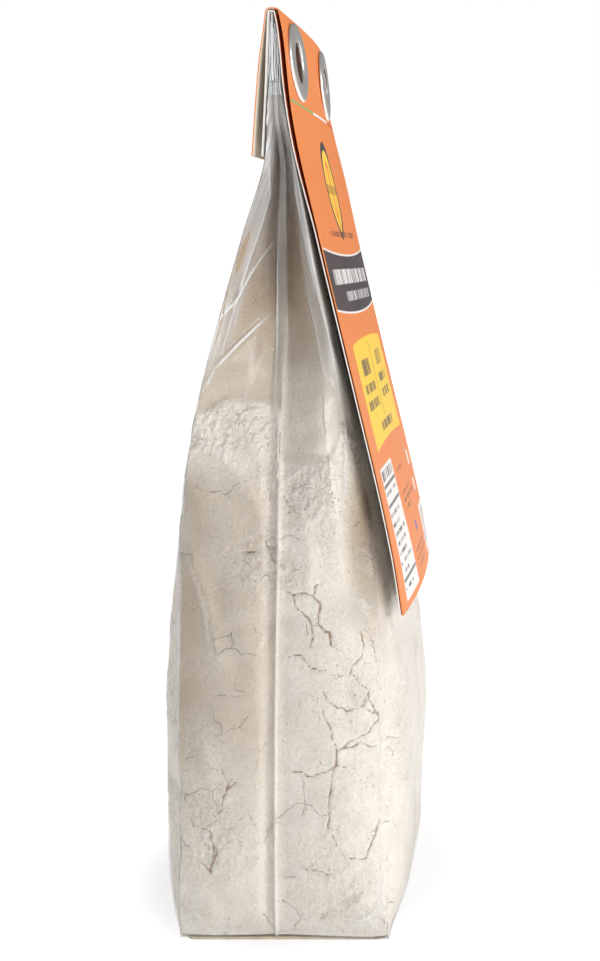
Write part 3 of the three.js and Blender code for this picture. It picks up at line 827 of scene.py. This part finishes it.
def makeCard(name, line, acrossSteps, finishes):
    half = cardShape["halfCard"]
    rows = len(line)
    bm = bmesh.new()
    bmesh.ops.create_grid(bm, x_segments=acrossSteps, y_segments=rows - 1, size=0.5)
    hole = (eyelet["bore"] / 2 + 1.1) * mm  # hidden under the eyelet's flange
    for v in bm.verts:
        row = round((v.co.y + 0.5) * (rows - 1))
        y = -half + (v.co.x + 0.5) * 2 * half
        x, z, lead = line[row]
        v.co = ((x + float(bowAt(z, y)) + lead * float(frontLead(z, y)) + beltCentre) * mm, y * mm, z * mm)
    for sign in (-1, 1):
        cy, cz = sign * eyelet["spacing"] / 2 * mm, eyelet["height"] * mm
        middles = {f: f.calc_center_median() for f in bm.faces}
        inside = [f for f, c in middles.items() if math.hypot(c.y - cy, c.z - cz) < hole]
        rim = {v for f in inside for v in f.verts}
        bmesh.ops.delete(bm, geom=inside, context="FACES")
        for v in rim:
            if v.is_valid and v.link_faces:
                out = Vector((v.co.y - cy, v.co.z - cz)).normalized() * hole
                v.co.y, v.co.z = cy + out.x, cz + out.y
    bmesh.ops.recalc_face_normals(bm, faces=bm.faces)
    front = max(bm.faces, key=lambda f: f.calc_center_median().x)
    if front.normal.x < 0:
        bmesh.ops.reverse_faces(bm, faces=bm.faces)
    for f in bm.faces:
        f.material_index = 0 if f.normal.x > 0.2 else 1
    thick = cardShape["thickness"] * mm
    bm.normal_update()
    moved = {v: v.co + v.normal * thick / 2 for v in bm.verts}
    for v, co in moved.items():
        v.co = co
    known = set(bm.faces)
    bmesh.ops.solidify(bm, geom=list(bm.faces), thickness=thick)
    bm.normal_update()
    bmesh.ops.recalc_face_normals(bm, faces=bm.faces)
    crown = max(range(rows), key=lambda i: line[i][1])
    crownX = (line[crown][0] + beltCentre) * mm
    for f in bm.faces:
        if f in known and len(f.verts) == 4:
            continue
        c = f.calc_center_median()
        flap = c.x < crownX + float(bowAt(c.z / mm, c.y / mm)) * mm and c.z > cardShape["flapFoot"] * mm - 0.001
        edge = abs(f.normal.y) > 0.75 or f.normal.z < -0.8 and c.z < 0.24
        f.material_index = 2 if edge else 3 if flap else 4
    for f in bm.faces:
        f.smooth = True
    for e in bm.edges:
        if len(e.link_faces) == 2 and e.calc_face_angle() > math.radians(40):
            e.smooth = False
    mesh = bpy.data.meshes.new(name)
    bm.to_mesh(mesh)
    bm.free()
    for finish in finishes:  # front outside, flap outside, cut edges, flap inside, front inside
        mesh.materials.append(finish)
    return intoScene(name, mesh)


class Print(Board):
    def lay(self, ink):
        self.tone = inks[ink]
        across = self.node("SeparateXYZ", {0: self.place()}).outputs
        self.y, self.z = (self.times(across[i], 1000) for i in (1, 2))  # mm

    def between(self, value, low, high, soft=0.12):
        up = self.span(value, low - soft, low + soft)
        return self.times(up, self.span(value, high - soft, high + soft, 1, 0))

    def box(self, y0, y1, z0, z1, arc=0.0):
        z = self.z
        if arc:
            z = self.plus(z, self.times(self.times(self.y, self.y), -arc))
        return self.times(self.between(self.y, y0, y1), self.between(z, z0, z1))

    def bars(self, y0, y1, z0, z1, letter, gap, seed):
        # one row of plain bars of uneven length, standing for words
        count = self.maths("FLOOR", self.maths("DIVIDE", self.y, letter))
        hashed = self.maths("FRACT", self.times(self.maths("SINE", self.times(count, 12.9898 + seed)), 437.5))
        return self.times(self.box(y0, y1, z0, z1), self.maths("GREATER_THAN", hashed, gap))

    def barRows(self, rows, seed):
        return [self.bars(*row, seed + n) for n, row in enumerate(rows)]

    def add(self, masks, ink, strength=1.0):
        mask = masks[0]
        for other in masks[1:]:
            mask = self.maths("MAXIMUM", mask, other)
        if strength != 1.0:
            mask = self.times(mask, strength)
        self.tone = self.blend(mask, self.tone, inks[ink])


inks = {
    "orange": (0.77, 0.235, 0.064),
    "cloud": (0.6, 0.165, 0.045),
    # a darker copy of the card's orange for the faces in the gap between the cards: painted shade
    "liner": (0.62, 0.15, 0.04),
    "yellow": (0.90, 0.58, 0.055),
    "charcoal": (0.040, 0.043, 0.052),
    "white": (0.80, 0.79, 0.775),
    "green": (0.24, 0.40, 0.15),
    "red": (0.60, 0.085, 0.035),
    "brown": (0.17, 0.06, 0.028),
    "blue": (0.09, 0.11, 0.38),
    "fibre": (0.5, 0.44, 0.37),
}
printPlan = {  # mm across and up the front panel; rows of bars also have their step and share of gaps
    "rule": (244.2, 245.0),
    "ruleInks": ((-42, -7, "green"), (-7, 21, "white"), (21, 42, "red")),
    "oval": {"middle": 220, "halfWide": 9.6, "halfHigh": 16.2},
    "bandArc": 0.0012,
    "bandRows": ((-34, 36, 190.2, 194.8, 0.62, 0.24), (-18, 34, 184.8, 187.8, 0.5, 0.36)),
    "panelRows": ((-22, -7, 161.5, 166.5, 0.8, 0.25), (-24, -4, 156.2, 159, 0.6, 0.3),
                  (-25, -4, 151.2, 154, 0.6, 0.3), (9, 22, 162.5, 167.5, 0.8, 0.25),
                  (7, 25, 157.2, 160, 0.6, 0.3), (7, 25, 152.2, 155, 0.6, 0.3), (-12, 14, 143.4, 146.2, 0.7, 0.3)),
    "tableRules": (129.0, 123.2, 101.2),
    "tableRows": (126.6, 120.4, 117.4, 114.6, 111.8, 109.0, 106.2, 103.4, 98.6),
    "wordRows": (129, 121.5, 119, 116.5, 103, 100.5, 98),
}


def cardStock(b, tone):
    fibre = b.noise(b.place(), 900, 3, 0.6)
    tone = b.blend(b.span(b.noise(b.place(), 28, 3, 0.5), 0.3, 0.75, 0, 0.10), tone, inks["cloud"])
    return tone, b.bump(b.plus(b.times(fibre, 0.4), b.noise(b.place(), 45, 2)), 0.16, 0.0006)


def printedMaterial():
    b = Print("cardPrint")
    b.lay("orange")
    plan = printPlan
    rule = b.between(b.z, *plan["rule"], 0.1)
    for y0, y1, ink in plan["ruleInks"]:
        b.add([b.times(rule, b.between(b.y, y0, y1))], ink)
    # plain oval, pointed at its foot
    oval = plan["oval"]
    dy = b.maths("ABSOLUTE", b.maths("DIVIDE", b.y, oval["halfWide"]))
    dz = b.maths("ABSOLUTE", b.maths("DIVIDE", b.maths("SUBTRACT", b.z, oval["middle"]), oval["halfHigh"]))
    point = b.span(b.z, 203, 222, 1.25, 2.1)
    powers = b.plus(b.maths("POWER", dy, point), b.maths("POWER", dz, point))
    ring = b.maths("POWER", powers, b.maths("DIVIDE", 1.0, point))
    field = b.span(ring, 0.82, 0.84, 1, 0)
    b.add([b.span(ring, 0.99, 1.01, 1, 0)], "charcoal")
    b.add([field], "yellow")
    inner = b.times(b.between(ring, 0.5, 0.6, 0.02), b.between(b.z, 206, 232))
    b.add([inner, b.times(b.between(b.y, -1.2, 1.2), b.between(b.z, 208, 230))], "orange", 0.85)
    b.add([b.times(b.between(b.z, 219, 222), field)], "brown", 0.45)
    b.add([b.bars(-24, 26, 205, 206.8, 0.6, 0.3, 1)], "brown", 0.75)
    # dark band with two rows of bars
    b.add([b.box(-42, 42, 180.6, 199.4, plan["bandArc"])], "white")
    b.add([b.box(-42, 42, 181.2, 198.8, plan["bandArc"])], "charcoal")
    upperRow, lowerRow = b.barRows(plan["bandRows"], 2)
    b.add([upperRow], "white", 0.85)
    b.add([lowerRow], "white", 0.7)
    # yellow panel
    b.add([b.box(-30, 32, 141, 173, -0.0015)], "yellow")
    b.add([b.box(-0.4, 0.5, 147, 171)], "brown", 0.7)
    b.add(b.barRows(plan["panelRows"], 4), "charcoal", 0.8)
    # white table with rows
    b.add([b.box(-34.5, -11, 96, 135)], "white")
    rules = [b.box(-34, -11.5, z, z + 1.0) for z in plan["tableRules"]]
    rows = [(-33.5, -14 - (n % 3) * 3, z, z + 1.1, 0.8, 0.42) for n, z in enumerate(plan["tableRows"])]
    b.add([b.bars(-33.5, -12, 131, 134, 0.5, 0.36, 11)] + rules + b.barRows(rows, 12), "charcoal", 0.85)
    # small boxes and bars
    b.add([b.box(28, 32, 126, 131), b.box(28, 32, 117, 121)], "white")
    b.add([b.box(25.5, 39.5, 96, 112)], "white")
    b.add([b.bars(27, 38, 98, 110.5, 0.5, 0.45, 31)], "charcoal", 0.8)
    words = [(-4, 12 + 5 * (n % 3), z, z + 1.2, 0.9, 0.4) for n, z in enumerate(plan["wordRows"])]
    b.add(b.barRows(words, 32), "brown", 0.75)
    b.add([b.box(6, 10, 108, 111)], "blue", 0.85)
    tone, bump = cardStock(b, b.tone)
    return b.finish(b.coat(tone, 0.5, bump, 0.18))


def plainCard(name, ink, dull):
    b = Board(name)
    tone, bump = cardStock(b, inks[ink])
    return b.finish(b.coat(tone, dull, bump))


def boardMaterial(name, tone):
    b = Board(name)
    fibre = b.noise(b.place((1, 1, 0.3)), 700, 4, 0.6)
    return b.finish(b.coat(b.blend(b.span(fibre, 0.35, 0.7, 0, 0.3), tone, inks["fibre"]), 0.8,
                           b.bump(fibre, 0.25, 0.0004)))


# eyelets


def turned(profile, steps, direction, place):
    bm = bmesh.new()
    verts = [bm.verts.new((r * mm, 0, h * mm)) for r, h in profile]
    edges = [bm.edges.new((verts[i], verts[(i + 1) % len(verts)])) for i in range(len(verts))]
    bmesh.ops.spin(bm, geom=verts + edges, cent=(0, 0, 0), axis=(0, 0, 1), dvec=(0, 0, 0), angle=2 * math.pi,
                   steps=steps, use_merge=True)
    turn = Vector((0, 0, 1)).rotation_difference(Vector(direction)).to_matrix().to_4x4()
    bmesh.ops.transform(bm, verts=bm.verts, matrix=Matrix.Translation(Vector(place) * mm) @ turn)
    bmesh.ops.recalc_face_normals(bm, faces=bm.faces)
    return bm


def makeEyelet(name, y):
    bore, rim, height, step = eyelet["bore"] / 2, eyelet["diameter"] / 2, eyelet["height"], 4.0

    def frontAt(z, across):
        return float(cardLine("front", z) + bowAt(z, across) + frontLead(z, across))

    def backAt(z, across):
        return float(cardLine("outerBack", z) + bowAt(z, across))

    def facing(faceAt):
        turn = (faceAt(height, y + step) - faceAt(height, y - step)) / (2 * step)
        lean = (faceAt(height + step, y) - faceAt(height - step, y)) / (2 * step)
        return Vector((1, -turn, -lean)).normalized()

    frontX, backX = frontAt(height, y), backAt(height, y)
    frontWay, backWay = facing(frontAt), -facing(backAt)
    dome = [(bore + 0.6, -0.3), (rim - 0.4, -0.1), (rim, 0.3)]
    middle, halfRing, domeSteps = (bore + rim) / 2, (rim - bore) / 2, 18
    for i in range(1, domeSteps):
        angle = math.pi * i / domeSteps
        dome.append((middle + halfRing * math.cos(angle), 0.5 + eyelet["rise"] * math.sin(angle) ** 0.8))
    dome += [(bore, 0.45), (bore + 0.1, 0.1)]
    rolled = [(bore, -1.2), (bore + 3.2, 0.7), (bore + 3.45, 1.05), (bore + 3.1, 1.5), (bore + 2.3, 1.8),
              (bore + 1.4, 1.8), (bore + 0.6, 1.5), (bore + 0.15, 1.1), (bore, 0.5)]
    reach = frontX - backX + 0.3
    tube = [(bore + 0.07, 0), (bore + 0.45, 0), (bore + 0.45, reach), (bore + 0.07, reach)]
    mesh = bpy.data.meshes.new(name)
    joined = bmesh.new()
    parts = [
        turned(dome, eyelet["segments"], frontWay, (frontX + beltCentre, y, height)),
        turned(rolled, eyelet["segments"], backWay, (backX + beltCentre, y, height)),
        turned(tube, eyelet["segments"], (1, 0, 0), (backX + beltCentre, y, height)),
    ]
    for n, part in enumerate(parts):
        for f in part.faces:
            f.material_index = 1 if n == 2 else 0
        part.to_mesh(mesh)
        joined.from_mesh(mesh)
        part.free()
    for f in joined.faces:
        f.smooth = True
    for e in joined.edges:
        if len(e.link_faces) == 2 and e.calc_face_angle() > math.radians(45):
            e.smooth = False
    joined.to_mesh(mesh)
    joined.free()
    return intoScene(name, mesh)


def steelMaterial():
    b = Board("steelFinish")
    smear = b.noise(b.place(), 160)
    tone = b.blend(b.span(smear, 0.35, 0.7, 0, 0.5), (0.76, 0.745, 0.71), (0.56, 0.545, 0.51))
    scratch = b.noise(b.place((1, 0.25, 1)), 1600, 3, 0.6)
    return b.finish(b.coat(tone, b.span(smear, 0.3, 0.75, 0.3, 0.4), b.bump(scratch, 0.05, 0.0002), metal=1.0))


# painted shade and painted orange reflection: the inside of the eyelet's bore, dark red-brown rather than steel
def boreShadeMaterial():
    b = Board("boreShadeFinish")
    tone = b.blend(b.span(b.noise(b.place(), 300), 0.35, 0.7), (0.10, 0.035, 0.02), (0.05, 0.02, 0.014))
    return b.finish(b.coat(tone, 0.55))


def sealMaterial():
    b = Board("sealFinish")
    streak = b.noise(b.place((1, 0.2, 1)), 180, 4, 0.6)
    tone = b.blend(b.span(streak, 0.35, 0.7), (0.62, 0.52, 0.38), (0.40, 0.30, 0.19))
    tone = b.blend(b.span(b.noise(b.place(), 60, 3, 0.5), 0.5, 0.7, 0, 0.5), tone, (0.74, 0.68, 0.58))
    return b.finish(b.coat(tone, 0.3, b.bump(streak, 0.3, 0.0005)))


# build

print("flour")
finishPiece(makeFlour(), flourMaterial(), "film")
print("film")
finishPiece(makeFilm(), filmMaterial("filmFinish"), "film", "bag")

print("neck folds")
folds = {  # mm, the film's own edges where it runs up between the cards
    "low": 246.0,
    "thickness": 0.34,
    "depth": 7.0,
    "tops": [267.5, 266.0, 268.0, 265.5, 267.0, 264.0],
    "edges": [40.8, 41.1, 40.6, 41.0, 40.7, 41.1],
}


def makeFolds(side):
    joined = bmesh.new()
    count = len(folds["tops"])
    for n, (top, edge) in enumerate(zip(folds["tops"], folds["edges"])):
        sheet = bmesh.new()
        bmesh.ops.create_grid(sheet, x_segments=10, y_segments=26, size=0.5)
        for v in sheet.verts:
            inward, climb = v.co.x + 0.5, v.co.y + 0.5
            z = folds["low"] + (top - folds["low"]) * climb
            y = side * (folds["depth"] * inward - edge + 0.15 * math.sin(climb * 9 + n * 2))
            back = -5.1 + 0.012 * (z - 250)
            front = -3.2 - 0.075 * (z - 250) + float(frontLead(z, y))
            x = back + (front - back) * n / (count - 1) + 0.1 * math.sin(climb * 14 + n * 1.7 + inward * 3)
            v.co = ((x + float(bowAt(z, y)) + beltCentre) * mm, y * mm, z * mm)
        bmesh.ops.recalc_face_normals(sheet, faces=sheet.faces)
        bmesh.ops.solidify(sheet, geom=list(sheet.faces), thickness=folds["thickness"] * mm)
        bmesh.ops.recalc_face_normals(sheet, faces=sheet.faces)
        mesh = bpy.data.meshes.new("sheet")
        sheet.to_mesh(mesh)
        sheet.free()
        joined.from_mesh(mesh)
        bpy.data.meshes.remove(mesh)
    mesh = bpy.data.meshes.new("neckFolds")
    joined.to_mesh(mesh)
    joined.free()
    return intoScene("nearFolds" if side > 0 else "farFolds", mesh)


neckFinish = filmMaterial("neckFinish", 0.85)
for side in (1, -1):
    finishPiece(makeFolds(side), neckFinish, "film")

print("cards")
# the darker orange in the gap between the cards is painted shade
linerShadeFace = plainCard("linerOrangeShade", "liner", 0.5)
orangeBack = plainCard("cardOrange", "orange", 0.45)
boardFace = boardMaterial("boardFace", (0.80, 0.74, 0.65))
greyBoard = boardMaterial("greyBoard", (0.72, 0.715, 0.70))
paleEdge = boardMaterial("paleEdge", (0.80, 0.76, 0.70))
outerLine = cardProfile(lambda z: cardLine("front", z), lambda z: cardLine("outerBack", z),
                        cardShape["top"], 1.8, 0.6, 0.9)
innerLine = cardProfile(lambda z: cardLine("front", z) - cardShape["thickness"] - cardLine("gap", z),
                        lambda z: cardLine("innerBack", z), cardShape["top"] - cardShape["thickness"] - 0.5,
                        1.8, 0.32, 0.42)
outerFinishes = [printedMaterial(), orangeBack, orangeBack, boardFace, linerShadeFace]
innerFinishes = [linerShadeFace, boardFace, paleEdge, greyBoard, greyBoard]
finishPiece(makeCard("outerCard", outerLine, 46, outerFinishes), None, "card", "outer_card")
finishPiece(makeCard("innerCard", innerLine, 46, innerFinishes), None, "liner", "inner_card")

print("eyelets")
# the barrel's finish is painted shade and painted orange reflection inside the bore
steel, barrel = steelMaterial(), boreShadeMaterial()
for name, way, node in (("nearEyelet", -1, "near_eyelet"), ("farEyelet", 1, "far_eyelet")):
    made = finishPiece(makeEyelet(name, way * eyelet["spacing"] / 2), steel, "steel", node)
    made.data.materials.append(barrel)

for node, finish in (("neck", neckFinish), ("base_seal", sealMaterial())):
    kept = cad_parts[node]
    kept.data.materials.clear()
    kept.data.materials.append(finish)

# floor, light and camera

print("stage")
stage = {
    "floorTone": (0.30, 0.30, 0.30),
    "floorGlow": (0.044, 0.075, 0.76, 1.24),  # m from the middle, then the glow at each; the dimmer glow near the bag is a painted contact shadow
    "sky": 0.52,
    "skySlope": (0.3, 0.95),  # from behind the card to its front
    "key": ((0.95, -0.85, 0.5), 0.7, 10.4),  # place, size, power
    "fill": ((-0.7, -0.6, 0.5), 0.9, 0.15),
    "aim": (0.0, 0.0, 0.12),
    "focal": 1200.0,  # pixels
    "frame": (600, 961),
    "axis": (533, 257),  # the pixel the camera looks along
    "camera": (0.0743, -0.3918, 0.1986),
}
bm = bmesh.new()
bmesh.ops.create_grid(bm, x_segments=1, y_segments=1, size=6)
floorMesh = bpy.data.meshes.new("floor")
bm.to_mesh(floorMesh)
bm.free()
b = Board("floorFinish")
paper = b.node("BsdfDiffuse", {"Color": stage["floorTone"]}).outputs[0]
distance = b.node("VectorMath", {0: b.place()}, {"operation": "LENGTH"}).outputs["Value"]
# the floor's glow is dimmer close to the bag: a painted contact shadow
glow = b.node("Emission", {"Color": (1, 1, 1), "Strength": b.span(distance, *stage["floorGlow"])}).outputs[0]
floorMesh.materials.append(b.finish(b.node("AddShader", {0: paper, 1: glow}).outputs[0]))
intoScene("floor", floorMesh)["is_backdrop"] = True

for name in ("key", "fill"):
    place, size, power = stage[name]
    lamp = bpy.data.lights.new(name, "AREA")
    lamp.shape, lamp.size, lamp.energy = "DISK", size, power
    made = intoScene(name, lamp)
    made.location = place
    made.rotation_euler = (Vector(stage["aim"]) - Vector(place)).to_track_quat("-Z", "Y").to_euler()

b = Board("studio", bpy.data.worlds.new("studio"), "OutputWorld")
scene.world = b.owner
way = b.node("SeparateXYZ", {0: b.node("TexCoord").outputs["Generated"]}).outputs[0]
lit = b.node("Background", {"Color": b.span(way, -1, 1, *stage["skySlope"]), "Strength": stage["sky"]}).outputs[0]
seen = b.node("Background", {"Color": (1, 1, 1), "Strength": 1.0}).outputs[0]
b.finish(b.mix(b.node("LightPath").outputs["Is Camera Ray"], lit, seen))
scene.view_settings.view_transform = "Standard"

camera = bpy.data.cameras.new("camera")
wide, high = stage["frame"]
camera.sensor_width = 36
camera.lens = 36 * stage["focal"] / high
camera.shift_x = (wide / 2 - stage["axis"][0]) / high
camera.shift_y = (stage["axis"][1] - high / 2) / high
scene.camera = intoScene("camera", camera)
scene.camera.location = stage["camera"]
scene.camera.rotation_euler = (math.radians(90), 0, 0)

boxes = {"cad": cadBox, "visual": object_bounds()}
boxes = {key: [list(map(float, corner)) for corner in box] for key, box in boxes.items()}
print("size", json.dumps(boxes["visual"]))
